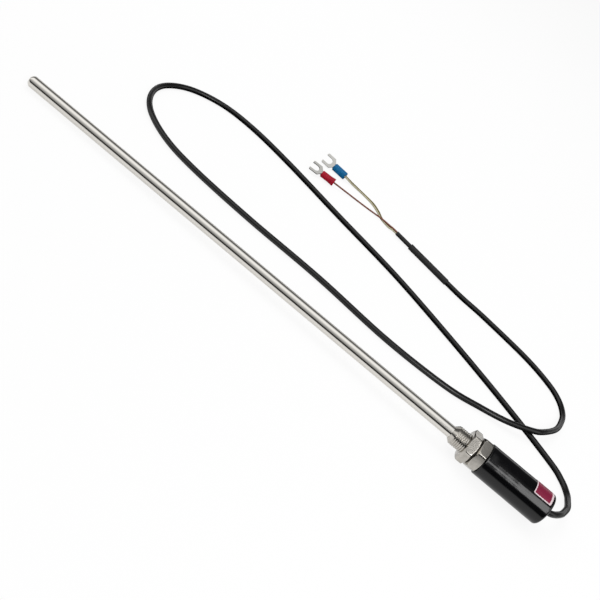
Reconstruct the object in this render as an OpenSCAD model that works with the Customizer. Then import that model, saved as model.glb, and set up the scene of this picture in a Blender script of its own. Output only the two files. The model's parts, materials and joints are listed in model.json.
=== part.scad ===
// Resistance temperature probe, lying at rest on a flat surface.
// A stainless sheath is brazed into a turned fitting with a pipe thread, a lock nut runs on that
// thread, and a moulded head at the rear holds the joints and lets the cable out.
// The row frame has +Z up and its origin on the surface, below the middle of probe and head.
// The probe is first drawn along its own axis: x = 0 is the fitting's shoulder, the tip is at -x.

/* [Sheath] */
// Outside diameter of the sheath tube
sheath_d = 8; // [7:0.5:9]
// Wall of the sheath tube
sheath_wall = 1; // [0.6:0.1:1.4]
// Length of sheath that stands out in front of the fitting
sheath_out = 340; // [200:5:500]
// Radius that rounds the rim of the closed tip
tip_round = 2.6; // [1:0.2:3]
// Thickness of the closed end
tip_wall = 1.5; // [1:0.1:3]
// How far the sheath passes the rear end of the fitting
sheath_tail = 3; // [2:0.5:6]

/* [Fitting] */
// Major diameter of the parallel pipe thread
thread_d = 13.157; // [12.5:0.001:14]
// Length of thread from the shoulder to its front end
thread_len = 15; // [12:0.5:20]
// Length of the cone between thread and sheath
cone_len = 2.6; // [2:0.2:4]
// Height of the step where the cone meets the sheath
cone_step = 0.3; // [0.1:0.1:0.6]
// Size across the flats of both hexagons
hex_af = 20; // [19:0.5:21]
// How far the chamfered rim of a hexagon lies inside its flats
hex_inset = 0.4; // [0.1:0.1:0.8]
// Width of the fitting's hexagon
hex_len = 7; // [5:0.5:10]
// Outside diameter of the tail that carries the head
tail_d = 16; // [15:0.5:17]
// Length of that tail
tail_len = 12; // [9:0.5:15]

/* [Lock nut] */
// Thickness of the lock nut
nut_len = 6; // [4:0.5:8]
// Angle between the corners of the two hexagons as tightened
hex_clocking = 23.5; // [18:0.5:28]
// Thickness of the seal ring behind the nut
ring_len = 0.8; // [0.6:0.1:1.5]
// Outside diameter of the seal ring
ring_d = 17.6; // [16:0.2:18.5]
// Free gap between nut, ring and shoulder
face_gap = 0.04; // [0.02:0.01:0.1]

/* [Head] */
// Outside diameter of the head
head_d = 22; // [21.5:0.5:26]
// Length of the head
head_len = 48; // [40:1:70]
// Wall of the head round its cavity
head_wall = 1.8; // [1.4:0.1:2.4]
// Thickness of its closed rear wall
head_back = 3.5; // [2.5:0.5:6]
// Radius that rounds the rear rim
head_round = 1.8; // [0.6:0.2:2.4]
// Chamfer at the front rim
head_chamfer = 0.5; // [0.2:0.1:1]
// Width of the sealing ring on the tail
o_ring_d = 1.6; // [1.2:0.1:2]
// Depth of the groove that holds it
groove_depth = 1.2; // [1:0.1:1.3]
// Play of that ring along its groove
groove_play = 0.16; // [0.1:0.02:0.3]

/* [Label] */
// Length of the label along the head
label_len = 12.6; // [8:0.2:20]
// Height of the label round the head
label_h = 16; // [8:0.5:24]
// Thickness of the label
label_t = 0.15; // [0.1:0.05:0.3]
// Gap between the label and the rear end of the head
label_inset = 2.4; // [2.4:0.2:10]
// Angle of the label's middle from the top of the head, towards +Y
label_turn = 8; // [-20:1:40]

/* [Inside] */
// Diameter of the sensing element
element_d = 3.4; // [3.2:0.1:3.8]
// Length of the sensing element
element_len = 16; // [10:1:25]
// Layer of powder between the closed end and the element
powder_end = 2; // [1:0.5:4]
// Length of one ceramic bead
bead_len = 40; // [20:2:60]
// Play between neighbouring beads
bead_gap = 0.4; // [0.2:0.1:0.6]
// Play between a bead and the bore of the sheath
bead_play = 0.2; // [0.1:0.05:0.3]
// Layer of powder between the element and the first bead
powder_back = 2; // [1:0.5:4]
// Radius of the circle on which the three leads lie
lead_pcd_r = 1.25; // [1.15:0.05:1.4]
// Diameter of one lead wire
lead_d = 0.5; // [0.3:0.05:0.6]
// Length of the resin plug in the mouth of the sheath
seal_len = 10; // [6:1:14]
// Bare length of the leads between the sheath and the splices
lead_bare = 2; // [1:0.5:4]
// Diameter of one splice
splice_d = 1.8; // [1.4:0.1:1.9]
// Length of one splice
splice_len = 10; // [8:1:14]
// Diameter of one insulated cable core
core_d = 1.2; // [0.9:0.1:1.3]
// Diameter of the lead bores in the beads
bead_bore_d = 0.9; // [0.7:0.1:1]

/* [Cable] */
// Outside diameter of the cable
cable_d = 4.2; // [3.8:0.1:4.2]
// Number of sides of the cable's tube
cable_sides = 10; // [8:1:12]
// Spacing of the tube's rings along the cable
ring_step = 17; // [12:1:30]
// Wall of the crimp ring that keeps the cable in the head
crimp_wall = 0.9; // [0.6:0.1:1.2]
// Length of that crimp ring
crimp_len = 4; // [3:0.5:5]
// Length of jacket in front of the crimp ring
crimp_inset = 1.5; // [0.5:0.5:2]
// Gap between the crimp ring and the head's rear wall
crimp_back = 3; // [1:0.5:3]

/* [Cable end] */
// Length of the shrink sleeve over the end of the cable
boot_len = 40; // [34:1:44]
// Wall of the shrink sleeve
boot_wall = 0.35; // [0.2:0.05:0.35]
// Length of the inner sleeve, measured from the end of the cable
liner_len = 33; // [28:1:40]
// Wall of the inner sleeve
liner_wall = 0.3; // [0.2:0.05:0.35]
// Diameter of one insulated wire
wire_d = 1.3; // [1:0.1:1.3]

/* [Terminals] */
// Length of the plastic sleeve on a terminal
grip_len = 12; // [10:0.5:13]
// Diameter of the sleeve's flared mouth
grip_mouth_d = 6.2; // [5.8:0.1:6.2]
// Diameter of the red sleeve's body
red_grip_d = 4.7; // [4.4:0.1:5]
// Diameter of the blue sleeve's body
blue_grip_d = 5.6; // [5.2:0.1:5.8]
// Wall of the sleeves
grip_wall = 0.8; // [0.6:0.1:0.9]
// Depth of the flared mouth
grip_mouth_len = 4.5; // [3:0.5:6]
// Wall of the sleeve at the rim of its mouth
grip_rim = 0.5; // [0.3:0.1:0.7]
// Straight length of that rim
grip_band = 0.8; // [0.4:0.1:1.2]
// Chamfer at the sleeve's front end
grip_chamfer = 0.4; // [0.2:0.1:0.6]
// How far the barrel starts behind the flared mouth
barrel_inset = 0.6; // [0.2:0.1:1]
// Width across the fork
fork_w = 9.4; // [8:0.2:9.6]
// Width of the fork's slot
fork_slot = 5.3; // [4.3:0.1:5.5]
// Reach of the fork in front of its sleeve
fork_reach = 10.4; // [9:0.2:12]
// Thickness of the fork
fork_t = 0.8; // [0.6:0.1:1]
// Length over which the fork widens from its barrel
fork_neck = 2.4; // [1.5:0.1:3]
// Metal left between that neck and the slot
fork_web = 0.6; // [0.4:0.1:1.2]
// Chamfer at the corners of the tines
tine_chamfer = 0.7; // [0.2:0.1:0.8]
// Roll of the red terminal about its own axis
red_roll = 24; // [0:1:40]
// Roll of the blue terminal about its own axis
blue_roll = 45; // [0:1:45]

/* [Hidden] */
$fn = 96;

// Clearances between pieces that seat on one another
braze_gap = 0.04;
thread_gap = 0.06;
glue_gap = 0.04;
pot_gap = 0.03;
cable_gap = 0.12;
shrink_gap = 0.1;
grip_gap = 0.04;
tiny = 0.01;

// Places along the probe's own axis
sheath_r = sheath_d / 2;
bore_r = sheath_r - sheath_wall;
cone_front = -thread_len - cone_len;
tip_x = cone_front - sheath_out;
hex_r = hex_af / 2 / cos(30);
tail_end = hex_len + tail_len;
groove_x = hex_len + tail_len / 2;
groove_half = o_ring_d / 2 + groove_play;
sheath_end = tail_end + sheath_tail;
nut_back = -2 * face_gap - ring_len;
nut_front = nut_back - nut_len;
head_rear = hex_len + head_len;
cavity_end = head_rear - head_back;
cavity_r = head_d / 2 - head_wall;
seal_start = sheath_end - seal_len;
bead_front = tip_x + tip_wall + powder_end + element_len + powder_back;
bead_count = floor((seal_start - bead_front) / (bead_len + bead_gap));
splice_start = sheath_end + lead_bare;
splice_end = splice_start + splice_len;
crimp_start = cavity_end - crimp_back - crimp_len;
jacket_start = crimp_start - crimp_inset;
hex_chamfer_slope = tan(30);
hex_face_r = hex_af / 2 - hex_inset;

// At rest the tip and the lower corners of both hexagons touch the surface
corner_start = (hex_r - hex_face_r) * hex_chamfer_slope;
tip_touch = tip_x + tip_round;
nut_touch = nut_front + corner_start;
hex_touch = corner_start;
mean_drop = hex_r * cos(hex_clocking / 2);
mean_slope = (mean_drop - sheath_r) / (nut_touch - tip_touch);
clock_shift = asin((hex_touch - nut_touch) * mean_slope / (2 * hex_r * sin(hex_clocking / 2)));
nut_turn = hex_clocking / 2 + clock_shift;
fitting_turn = clock_shift - hex_clocking / 2;
tilt = atan((hex_r * cos(nut_turn) - sheath_r) / (nut_touch - tip_touch));
lift = sheath_r * cos(tilt) - tip_touch * sin(tilt);
front_reach = tip_touch * cos(tilt) - (sheath_r - tip_round) * sin(tilt) - tip_round;
rear_reach = (head_rear - head_round) * cos(tilt) + (head_d / 2 - head_round) * sin(tilt) + head_round;
middle = (front_reach + rear_reach) / 2;

// A point on the probe's axis, in the row frame
function on_axis(x) = [x * cos(tilt) - middle, 0, x * sin(tilt) + lift];

// Route of the cable from the head, down to the surface and round to its end
cable_z = cable_d / 2;
boot_r = cable_d / 2 + shrink_gap + boot_wall;
boot_from = [84, 160, boot_r];
boot_dir = [-6, 1, 0] / norm([-6, 1, 0]);
boot_heading = atan2(boot_dir[1], boot_dir[0]);
cable_stop = 22;
cable_end = boot_from + cable_stop * boot_dir;
sleeve_end = boot_from + (cable_stop + liner_len) * boot_dir;
route = [
    [212, 2, 12.4], [218, 9, 11.4], [222, 18, 9.1], [225, 27, 6.4], [226, 36, 4], [225, 45, 2.5],
    [219, 54, 2.1], [207, 62, 2.1], [164, 80, 2.1], [110, 99, 2.1], [50, 117, 2.1], [-10, 129, 2.1],
    [-67, 141, 2.1], [-106, 146, 2.1], [-135, 143, 2.1], [-158, 129, 2.1], [-169, 108, 2.1],
    [-167, 87, 2.1], [-154, 68, 2.1], [-130, 54, 2.1], [-100, 48, 2.1], [-50, 46, 2.1],
    [10, 47, 2.1], [70, 44, 2.1], [120, 48, 2.1], [148, 56, 2.4], [168, 61, 4.6], [185, 69, 6.5],
    [194, 77, 6.7], [204, 94, 4.9], [208, 110, 2.9], [208, 123, 2.1], [202, 135, 2.1],
    [190, 144, 2.1], [166, 152, 2.1], [124, 157.5, 2.1], [101, 158.4, 2.2]];
// Routes of the three wires from the inner sleeve to the terminals
red_route = [[22, 171, 2.5], [14, 172.2, 1.9], [2, 172, 0.9], [-10, 170.5, 0.8], [-21, 167.5, 1.7]];
yellow_route = [[22, 171.6, 1.2], [14, 174.8, 0.7], [8, 180.2, 0.7], [0, 185, 0.7], [-12, 186.9, 0.7],
    [-22, 186.8, 1.4]];
white_route = [[22, 170, 1.1], [13.6, 173.2, 0.7], [7, 178.6, 0.7], [-1, 183.2, 0.7],
    [-12, 185.4, 0.7], [-22, 185, 1.4]];

// Terminals lie on the rims of their mouths
grip_z = grip_mouth_d / 2;
red_at = [-33, 163.4, grip_z];
red_heading = 186.5;
blue_at = [-31, 184.4, grip_z];
blue_heading = 175.5;
barrel_start = grip_mouth_len + barrel_inset;
barrel_out = 0.8;
neck_start = grip_len + 0.2;
red_barrel_r = red_grip_d / 2 - grip_wall - grip_gap;
blue_barrel_r = blue_grip_d / 2 - grip_wall - grip_gap;
function heading(a) = [cos(a), sin(a), 0];
function sideways(a) = [-sin(a), cos(a), 0];
red_wire_end = red_at + barrel_start * heading(red_heading);
blue_wire_end = blue_at + barrel_start * heading(blue_heading);
pair_gap = wire_d / 2 + 0.04;
bundle_r = wire_d / 2 / cos(30) + 0.03;
liner_bore_r = bundle_r + wire_d / 2 + 0.04;
liner_r = liner_bore_r + liner_wall;

// Smooth curve through points: steps between neighbours follow the ring spacing
function curve_point(a, b, c, d, t) =
    0.5 * (2 * b + (c - a) * t + (2 * a - 5 * b + 4 * c - d) * t * t + (3 * b - a - 3 * c + d) * t * t * t);
function steps(a, b, step) = max(1, round(norm(b - a) / step));
function smooth(p, step) = [
    for (i = [0 : len(p) - 2])
        let (a = p[max(0, i - 1)], b = p[i], c = p[i + 1], d = p[min(len(p) - 1, i + 2)])
        for (k = [0 : steps(b, c, step) - 1])
            curve_point(a, b, c, d, k / steps(b, c, step)),
    p[len(p) - 1]];
function unit(v) = v / norm(v);
function tangent(p, i) = unit(p[min(len(p) - 1, i + 1)] - p[max(0, i - 1)]);
function level_side(t) = unit(cross([0, 0, 1], t));
function ring(p, i, r, n) =
    let (t = tangent(p, i), s = level_side(t), u = cross(t, s))
    [for (k = [0 : n - 1]) p[i] + r * (cos(360 * k / n) * s + sin(360 * k / n) * u)];

// Tube of radius r with n sides through the points p
module tube(p, r, n) {
    points = [for (i = [0 : len(p) - 1]) each ring(p, i, r, n)];
    sides = [for (i = [0 : len(p) - 2]) for (k = [0 : n - 1])
        each [[i * n + k, i * n + (k + 1) % n, (i + 1) * n + (k + 1) % n],
            [i * n + k, (i + 1) * n + (k + 1) % n, (i + 1) * n + k]]];
    front = [for (k = [n - 1 : -1 : 0]) k];
    back = [for (k = [0 : n - 1]) (len(p) - 1) * n + k];
    polyhedron(points, concat([front], sides, [back]));
}

// Puts a piece drawn along the probe's axis where the probe lies at rest
module lie() {
    translate([-middle, 0, lift]) rotate([0, -tilt, 0]) children();
}

// Straight round bar along x
module bar(from, to, r) {
    translate([from, 0, 0]) rotate([0, 90, 0]) cylinder(h = to - from, r = r);
}

// Body turned about x: children give radius and place along x
module turned() {
    rotate([0, 90, 0]) rotate_extrude() children();
}

// Rectangle of a turned profile
module step_2d(from, to, r) {
    translate([0, from]) square([r, to - from]);
}

// Three places on the circle of the leads
module three_leads() {
    for (k = [0 : 2]) rotate([120 * k + 90, 0, 0]) translate([0, lead_pcd_r, 0]) children();
}

// Hexagon along x with one corner turned away from the bottom, chamfered in front and behind
module hexagon(from, to, turn, front, back) {
    cut = hex_r - hex_face_r + 1;
    intersection() {
        rotate([turn, 0, 0]) translate([from, 0, 0]) rotate([0, 90, 0])
            cylinder(h = to - from, r = hex_r, $fn = 6);
        turned() polygon([[0, from], [front ? hex_face_r : hex_r + 1, from],
            [hex_r + 1, from + (front ? cut * hex_chamfer_slope : 0)],
            [hex_r + 1, to - (back ? cut * hex_chamfer_slope : 0)],
            [back ? hex_face_r : hex_r + 1, to], [0, to]]);
    }
}

module sheath() {
    color("silver") lie() difference() {
        turned() intersection() {
            union() {
                step_2d(tip_x + tip_round, sheath_end, sheath_r);
                step_2d(tip_x, tip_x + 2 * tip_round, sheath_r - tip_round);
                translate([sheath_r - tip_round, tip_x + tip_round]) circle(tip_round);
            }
            step_2d(tip_x, sheath_end, sheath_r);
        }
        bar(tip_x + tip_wall, sheath_end + 1, bore_r);
    }
}

module sensing_element() {
    x = tip_x + tip_wall + powder_end;
    color("ivory") lie() bar(x, x + element_len, element_d / 2);
}

module powder_fill() {
    x = tip_x + tip_wall;
    color("whitesmoke") lie() difference() {
        bar(x, bead_front, bore_r - pot_gap);
        bar(x + powder_end - pot_gap, x + powder_end + element_len + pot_gap, element_d / 2 + pot_gap);
        three_leads() bar(x + powder_end + element_len, bead_front + 1, lead_d / 2 + pot_gap);
    }
}

module ceramic_beads() {
    color("linen") lie() for (i = [0 : bead_count - 1])
        translate([bead_front + bead_gap / 2 + i * (bead_len + bead_gap), 0, 0]) difference() {
            bar(0, bead_len, bore_r - bead_play);
            three_leads() bar(-1, bead_len + 1, bead_bore_d / 2);
        }
}

module lead_wires() {
    x = tip_x + tip_wall + powder_end + element_len + tiny;
    color("lightgray") lie() three_leads() bar(x, splice_start - tiny, lead_d / 2);
}

module sheath_seal() {
    color("saddlebrown") lie() difference() {
        bar(seal_start, sheath_end, bore_r - pot_gap);
        three_leads() bar(seal_start - 1, sheath_end + 1, lead_d / 2 + pot_gap);
    }
}

module fitting() {
    color("lightgray") lie() difference() {
        union() {
            turned() polygon([[0, cone_front], [sheath_r + cone_step, cone_front],
                [thread_d / 2, -thread_len], [thread_d / 2, 1], [0, 1]]);
            hexagon(0, hex_len, fitting_turn, true, false);
            bar(hex_len - 1, tail_end, tail_d / 2);
        }
        bar(cone_front - 1, tail_end + 1, sheath_r + braze_gap);
        difference() {
            bar(groove_x - groove_half, groove_x + groove_half, tail_d / 2 + 1);
            bar(groove_x - groove_half - 1, groove_x + groove_half + 1, tail_d / 2 - groove_depth);
        }
    }
}

module lock_nut() {
    color("gainsboro") lie() difference() {
        hexagon(nut_front, nut_back, nut_turn, true, true);
        bar(nut_front - 1, nut_back + 1, thread_d / 2 + thread_gap);
    }
}

module seal_ring() {
    color("black") lie() difference() {
        bar(-face_gap - ring_len, -face_gap, ring_d / 2);
        bar(-ring_len - 1, 1, thread_d / 2 + thread_gap);
    }
}

module tail_o_ring() {
    color("dimgray") lie() difference() {
        bar(groove_x - o_ring_d / 2, groove_x + o_ring_d / 2, tail_d / 2);
        bar(hex_len, tail_end, tail_d / 2 - groove_depth + glue_gap);
    }
}

module head_shell() {
    color([0.06, 0.06, 0.07]) lie() difference() {
        turned() {
            translate([0, hex_len]) polygon([[0, 0], [head_d / 2 - head_chamfer, 0],
                [head_d / 2, head_chamfer], [head_d / 2, head_len - head_round], [0, head_len - head_round]]);
            step_2d(hex_len + head_len - 2 * head_round, head_rear, head_d / 2 - head_round);
            translate([head_d / 2 - head_round, head_rear - head_round]) circle(head_round);
        }
        bar(hex_len - 1, tail_end + 1, tail_d / 2 + glue_gap);
        bar(tail_end, cavity_end, cavity_r);
        bar(cavity_end - 1, head_rear + 1, cable_d / 2 + cable_gap);
    }
}

module splices() {
    color("firebrick") lie() three_leads() bar(splice_start, splice_end, splice_d / 2);
}

module core_tails() {
    color("white") lie() three_leads() bar(splice_end + tiny, jacket_start - tiny, core_d / 2);
}

module crimp_ring() {
    color("goldenrod") lie() difference() {
        bar(crimp_start, crimp_start + crimp_len, cable_d / 2 + pot_gap + crimp_wall);
        bar(crimp_start - 1, crimp_start + crimp_len + 1, cable_d / 2 + pot_gap);
    }
}

module potting() {
    color("darkslategray") lie() difference() {
        bar(tail_end + pot_gap, cavity_end - pot_gap, cavity_r - pot_gap);
        bar(tail_end - 1, sheath_end + pot_gap, sheath_r + pot_gap);
        three_leads() bar(sheath_end - 1, splice_start + 1, lead_d / 2 + pot_gap);
        three_leads() bar(splice_start - pot_gap, splice_end + pot_gap, splice_d / 2 + pot_gap);
        three_leads() bar(splice_end - 1, jacket_start + 1, core_d / 2 + pot_gap);
        bar(jacket_start - pot_gap, cavity_end + 1, cable_d / 2 + cable_gap);
        bar(crimp_start - pot_gap, crimp_start + crimp_len + pot_gap, cable_d / 2 + 2 * pot_gap + crimp_wall);
    }
}

module label() {
    span = label_h / (head_d / 2) * 180 / PI;
    rear = head_rear - label_inset;
    color([0.62, 0.1, 0.24]) lie() translate([rear - label_len, 0, 0]) rotate([-label_turn, 0, 0])
        rotate([0, 90, 0]) rotate([0, 0, 180 - span / 2]) rotate_extrude(angle = span)
            translate([head_d / 2, 0]) square([label_t, label_len]);
}

module cable() {
    inner = [on_axis(jacket_start)];
    run = smooth(concat([on_axis(head_rear)], route, [boot_from]), ring_step);
    color([0.08, 0.08, 0.08]) tube(concat(inner, run, [cable_end]), cable_d / 2, cable_sides);
}

// Straight round piece along the cable's last stretch, places counted from the boot's start
module end_bar(from, to, r) {
    translate(boot_from) rotate([0, 0, boot_heading]) bar(from, to, r);
}

module shrink_boot() {
    color([0.12, 0.12, 0.12]) difference() {
        end_bar(0, boot_len, boot_r);
        end_bar(-1, cable_stop, cable_d / 2 + shrink_gap);
        end_bar(cable_stop - 1, boot_len + 1, liner_r + shrink_gap / 2);
    }
}

module core_sleeve() {
    color([0.1, 0.1, 0.1]) difference() {
        end_bar(cable_stop + tiny, cable_stop + liner_len, liner_r);
        end_bar(cable_stop - 1, cable_stop + liner_len + 1, liner_bore_r);
    }
}

// First straight stretch of a wire in the bundle, at the given angle round its middle
function bundle_point(along, a) =
    boot_from + along * boot_dir + bundle_r * (cos(a) * sideways(boot_heading) + sin(a) * [0, 0, 1]);
function bundle(a) = [bundle_point(cable_stop + tiny, a), bundle_point(cable_stop + liner_len + 1, a)];

// Last straight stretch of a wire, into the mouth of its terminal
function lead_in(end, a, side) =
    [for (back = [barrel_start, tiny]) end - back * heading(a) + side * sideways(a)];

module wire(angle, points, end, a, side) {
    start = bundle(angle);
    last = lead_in(end, a, side);
    mid = smooth(concat([start[1]], points, [last[0]]), 12);
    tube(concat([start[0]], mid, [last[1]]), wire_d / 2, 8);
}

module red_wire() {
    color("firebrick") wire(90, red_route, red_wire_end, red_heading, 0);
}

module yellow_wire() {
    color("goldenrod") wire(210, yellow_route, blue_wire_end, blue_heading, -pair_gap);
}

module white_wire() {
    color("ivory") wire(330, white_route, blue_wire_end, blue_heading, pair_gap);
}

// Puts a terminal drawn along x at the mouth of its sleeve
module place_terminal(at, a, roll) {
    translate(at) rotate([0, 0, a]) rotate([roll, 0, 0]) children();
}

// Tinned fork with its barrel: the blade leaves the barrel along one side
module fork(barrel_r) {
    root = neck_start + fork_neck;
    tip = grip_len + fork_reach;
    slot_r = fork_slot / 2;
    slot_x = root + fork_web + slot_r;
    bar(barrel_start, grip_len + barrel_out, barrel_r);
    translate([0, 0, barrel_r - fork_t]) linear_extrude(fork_t) difference() {
        polygon([[neck_start, -barrel_r], [root, -fork_w / 2], [tip - tine_chamfer, -fork_w / 2],
            [tip, tine_chamfer - fork_w / 2], [tip, fork_w / 2 - tine_chamfer],
            [tip - tine_chamfer, fork_w / 2], [root, fork_w / 2], [neck_start, barrel_r]]);
        translate([slot_x, 0]) circle(slot_r);
        translate([slot_x, -slot_r]) square([fork_reach, fork_slot]);
    }
}

// Plastic sleeve with a flared mouth for the wires
module grip(body_d) {
    bore = body_d / 2 - grip_wall;
    turned() polygon([[grip_mouth_d / 2 - grip_rim, 0], [grip_mouth_d / 2, 0],
        [grip_mouth_d / 2, grip_band], [body_d / 2, grip_mouth_len],
        [body_d / 2, grip_len - grip_chamfer], [body_d / 2 - grip_chamfer, grip_len],
        [bore, grip_len], [bore, grip_mouth_len]]);
}

module red_fork() {
    color("silver") place_terminal(red_at, red_heading, -red_roll) fork(red_barrel_r);
}

module red_grip() {
    color("crimson") place_terminal(red_at, red_heading, -red_roll) grip(red_grip_d);
}

module blue_fork() {
    color("silver") place_terminal(blue_at, blue_heading, -blue_roll) fork(blue_barrel_r);
}

module blue_grip() {
    color("dodgerblue") place_terminal(blue_at, blue_heading, -blue_roll) grip(blue_grip_d);
}

sheath();
sensing_element();
powder_fill();
ceramic_beads();
lead_wires();
sheath_seal();
fitting();
lock_nut();
seal_ring();
tail_o_ring();
head_shell();
splices();
core_tails();
crimp_ring();
potting();
label();
cable();
shrink_boot();
core_sleeve();
red_wire();
yellow_wire();
white_wire();
red_fork();
red_grip();
blue_fork();
blue_grip();
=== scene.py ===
"""Resistance temperature probe with a moulded head, a long cable and two fork terminals."""

import json
import math
from collections import namedtuple

import bmesh
import bpy
from mathutils import Matrix, Vector


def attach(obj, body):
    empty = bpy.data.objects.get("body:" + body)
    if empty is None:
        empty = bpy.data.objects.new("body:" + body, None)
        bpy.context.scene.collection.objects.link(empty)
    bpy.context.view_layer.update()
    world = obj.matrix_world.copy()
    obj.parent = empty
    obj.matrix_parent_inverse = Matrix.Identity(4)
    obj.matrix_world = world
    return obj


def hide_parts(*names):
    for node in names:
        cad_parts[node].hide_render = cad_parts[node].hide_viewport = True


bl_info = {
    "name": "Temperature Probe",
    "version": (1, 0, 0),
    "blender": (4, 5, 0),
    "location": "View3D > Sidebar > Probe",
    "description": "Dresses a temperature probe: metal, head, label, cable, wires and terminals",
    "category": "Add Mesh",
}

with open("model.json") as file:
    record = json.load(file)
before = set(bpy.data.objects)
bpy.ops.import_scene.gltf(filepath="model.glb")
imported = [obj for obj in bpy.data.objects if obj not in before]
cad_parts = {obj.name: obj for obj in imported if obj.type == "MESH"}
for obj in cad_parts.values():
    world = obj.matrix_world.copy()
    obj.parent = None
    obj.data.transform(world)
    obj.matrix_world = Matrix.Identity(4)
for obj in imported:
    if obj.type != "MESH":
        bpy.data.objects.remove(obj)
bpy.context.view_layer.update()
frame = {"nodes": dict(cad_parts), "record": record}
MM = 0.001

# Gaps between pieces that are fitted together
BONDED_GAP = 0.04 * MM
THREAD_GAP = 0.06 * MM
CABLE_GAP = 0.12 * MM
BUNDLE_GAP = 0.03 * MM
END_GAP = 0.05 * MM

# A hexagon's corner and the middle of the next flat are this far apart
HALF_FLAT = math.radians(30)
CHAMFER_ANGLE = math.radians(30)
# Edges that turn more sharply than this stay crisp
SHARP_ANGLE = math.radians(35)


def record_mount(name):
    """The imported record's mount of that name."""
    return next(m for m in frame["record"]["mounts"] if m["name"] == name)


# The probe's own axis points from the tip to the head, and its zero is the fitting's shoulder
AXIS = -Vector(record_mount("process_sheath")["axis"])
TILT = math.atan2(AXIS.z, AXIS.x)


def sized(label, text, default):
    """A length in metres, shown in the scene's units."""
    return bpy.props.FloatProperty(
        name=label, description=text, default=default, min=0.0, precision=5, subtype="DISTANCE", unit="LENGTH"
    )


def coloured(label, text, default):
    """A colour as an sRGB hex value."""
    return bpy.props.StringProperty(name=label, description=text, default=default)


class ProbeSizes(bpy.types.PropertyGroup):
    """Sizes of the pieces that are modelled here."""

    hex_flats: sized("Across flats", "Size across the flats of both hexagons", 20 * MM)
    hex_inset: sized("Rim inset", "How far a chamfered rim lies inside the flats", 0.4 * MM)
    hex_width: sized("Hexagon width", "Width of the fitting's hexagon", 7 * MM)
    edge_round: sized("Edge softness", "Radius to which the tumbled edges are worn", 0.08 * MM)
    corner_cut: sized("Corner cut", "How far a hexagon's corners are turned down", 0.19 * MM)
    nut_width: sized("Nut width", "Thickness of the lock nut", 6 * MM)
    ring_width: sized("Ring width", "Thickness of the seal ring", 0.8 * MM)
    ring_diameter: sized("Ring diameter", "Outside diameter of the seal ring", 17.6 * MM)
    face_gap: sized("Face gap", "Free gap between nut, ring and shoulder", 0.04 * MM)
    thread_diameter: sized("Thread diameter", "Major diameter of the pipe thread", 13.157 * MM)
    thread_length: sized("Thread length", "Length of the pipe thread", 15 * MM)
    thread_pitch: sized("Thread pitch", "Distance between neighbouring ridges", 1.337 * MM)
    thread_depth: sized("Thread depth", "Height of a ridge over its root", 0.42 * MM)
    cone_length: sized("Cone length", "Length of the cone between thread and sheath", 2.6 * MM)
    sheath_diameter: sized("Sheath diameter", "Outside diameter of the sheath", 8 * MM)
    tail_diameter: sized("Tail diameter", "Diameter of the fitting's tail in the head", 16 * MM)
    tail_length: sized("Tail length", "Length of that tail", 12 * MM)
    head_diameter: sized("Head diameter", "Outside diameter of the head", 22 * MM)
    head_length: sized("Head length", "Length of the head", 48 * MM)
    head_wall: sized("Head wall", "Wall of the head round its cavity", 1.8 * MM)
    head_back: sized("Head back", "Thickness of the head's rear wall", 3.5 * MM)
    head_round: sized("Head round", "Radius of the head's rear rim", 1.8 * MM)
    head_wave: sized("Head wave", "Depth of the shallow sinks in the moulding", 0.06 * MM)
    label_length: sized("Label length", "Length of the label along the head", 12.6 * MM)
    label_height: sized("Label height", "Height of the label round the head", 16 * MM)
    label_thickness: sized("Label thickness", "Thickness of the label", 0.15 * MM)
    label_inset: sized("Label inset", "Gap between label and rear end", 2.4 * MM)
    label_corner: sized("Label corner", "Radius of the label's cut corners", 0.7 * MM)
    label_border: sized("Label border", "Width of the label's pale border", 0.65 * MM)
    label_rear_border: sized("Rear border", "Width of that border on the rear side", 1.2 * MM)
    cable_diameter: sized("Cable diameter", "Outside diameter of the cable", 4.2 * MM)
    cable_length: sized("Cable length", "Length of the cable from the head to its end", 1.11)
    boot_length: sized("Boot length", "Length of the shrink sleeve", 40 * MM)
    boot_diameter: sized("Boot diameter", "Outside diameter of the shrink sleeve", 5.1 * MM)
    liner_diameter: sized("Liner diameter", "Outside diameter of the inner sleeve", 3.5 * MM)
    liner_length: sized("Liner length", "Length of the inner sleeve past the cable's end", 33 * MM)
    cable_stop: sized("Cable stop", "Length of cable inside the shrink sleeve", 22 * MM)
    wire_diameter: sized("Wire diameter", "Outside diameter of one wire", 1.3 * MM)
    wire_length: sized("Wire length", "Length of one wire from the cable to its terminal", 0.103)
    grip_length: sized("Grip length", "Length of a terminal's plastic sleeve", 12 * MM)
    grip_mouth: sized("Grip mouth", "Diameter of that sleeve's flared mouth", 6.2 * MM)
    grip_mouth_depth: sized("Mouth depth", "Depth of the flared mouth", 4.5 * MM)
    grip_wall: sized("Grip wall", "Wall of the sleeve", 0.8 * MM)
    red_grip: sized("Red grip", "Diameter of the red sleeve's body", 4.7 * MM)
    blue_grip: sized("Blue grip", "Diameter of the blue sleeve's body", 5.6 * MM)
    red_spread: sized("Red spread", "How much wider the crimp has pressed the red sleeve", 1.1 * MM)
    blue_spread: sized("Blue spread", "How much wider the crimp has pressed the blue sleeve", 0.7 * MM)


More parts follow.
